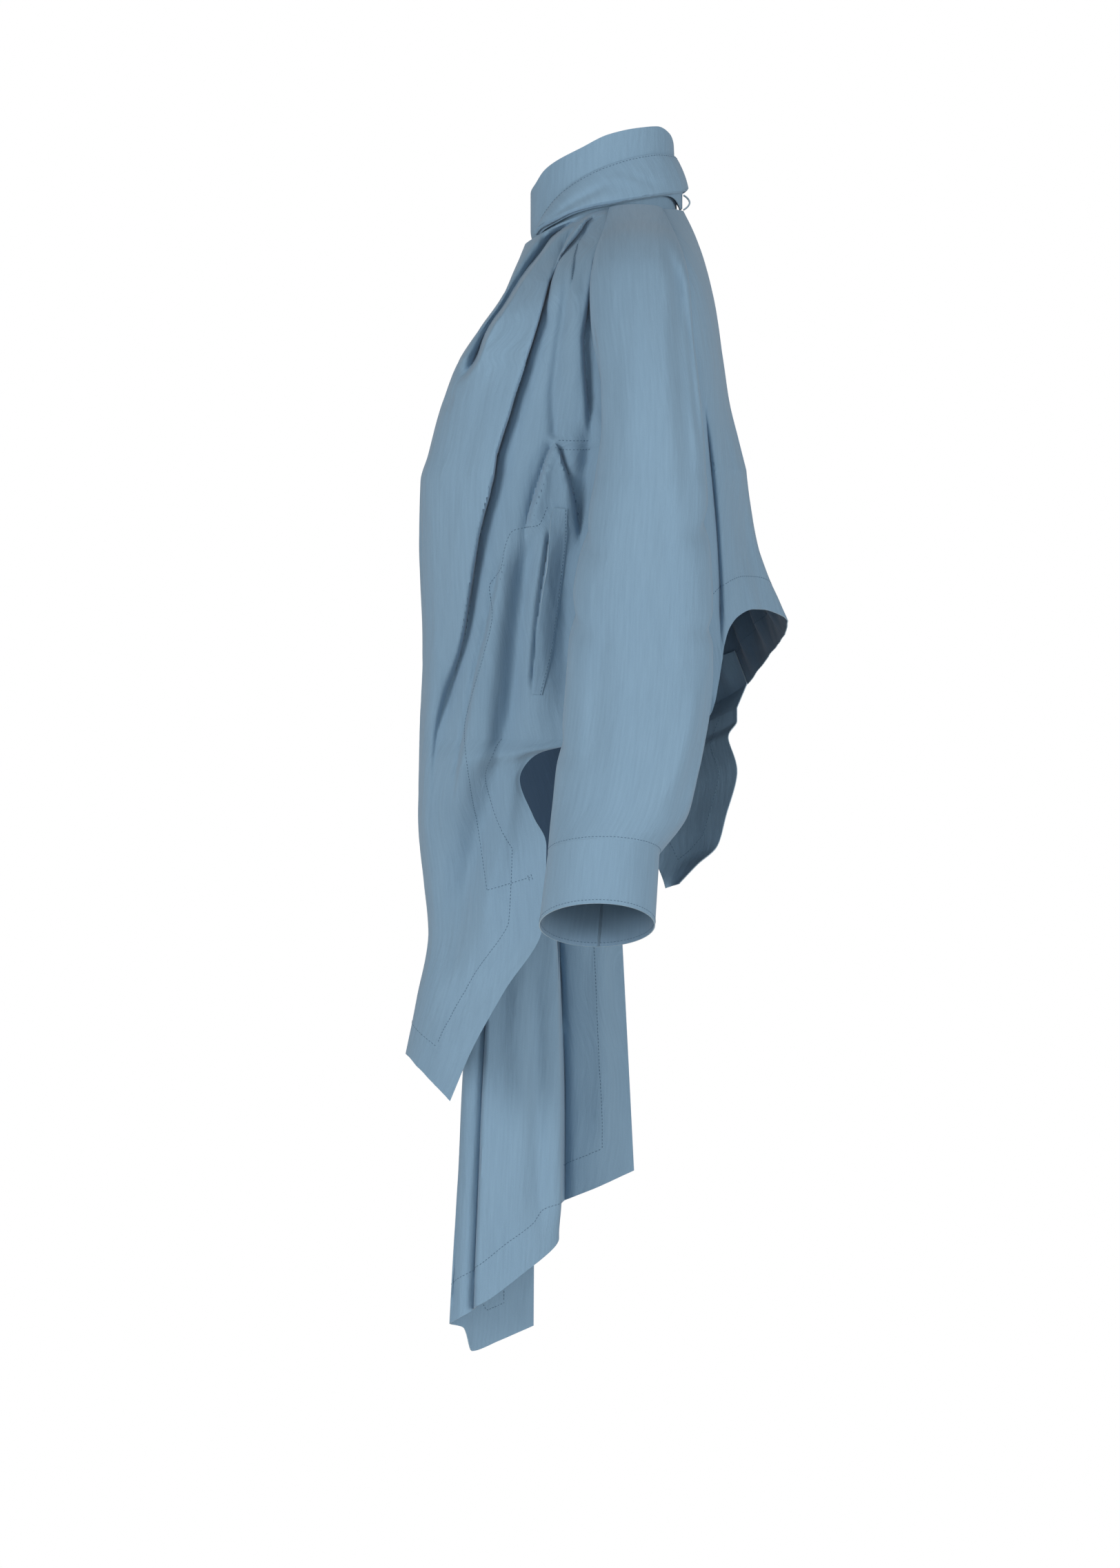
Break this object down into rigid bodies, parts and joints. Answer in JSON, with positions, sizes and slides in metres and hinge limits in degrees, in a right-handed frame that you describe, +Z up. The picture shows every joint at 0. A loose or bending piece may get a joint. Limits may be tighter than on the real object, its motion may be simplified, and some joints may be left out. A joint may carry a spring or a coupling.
{
  "type": "draped cotton jacket",
  "caption": "Draped cotton jacket with a funnel collar and scarf wrap, wide dolman sleeves with cuff bands, a pointed left front, a long pleated right front and a cape-like flaring back.",
  "frame": {"origin": "middle of the neck at shoulder height, where the wearer's shoulders hold the jacket up", "axes": "+Z up, -Y the way the wearer faces, +X the wearer's left"},
  "size_m": [0.7558, 0.3457, 1.1119],
  "materials": {
    "main_cotton": "matte washed cotton, dusty blue"
  },
  "bodies": {
    "root": {"left_front": "main_cotton", "right_front": "main_cotton", "back": "main_cotton", "back_tail": "main_cotton", "left_sleeve": "main_cotton", "right_sleeve": "main_cotton", "left_cuff": "main_cotton", "right_cuff": "main_cotton", "collar": "main_cotton", "collar_wrap": "main_cotton", "nape_loop": "main_cotton", "pocket_welt": "main_cotton"}
  },
  "joints": []
}
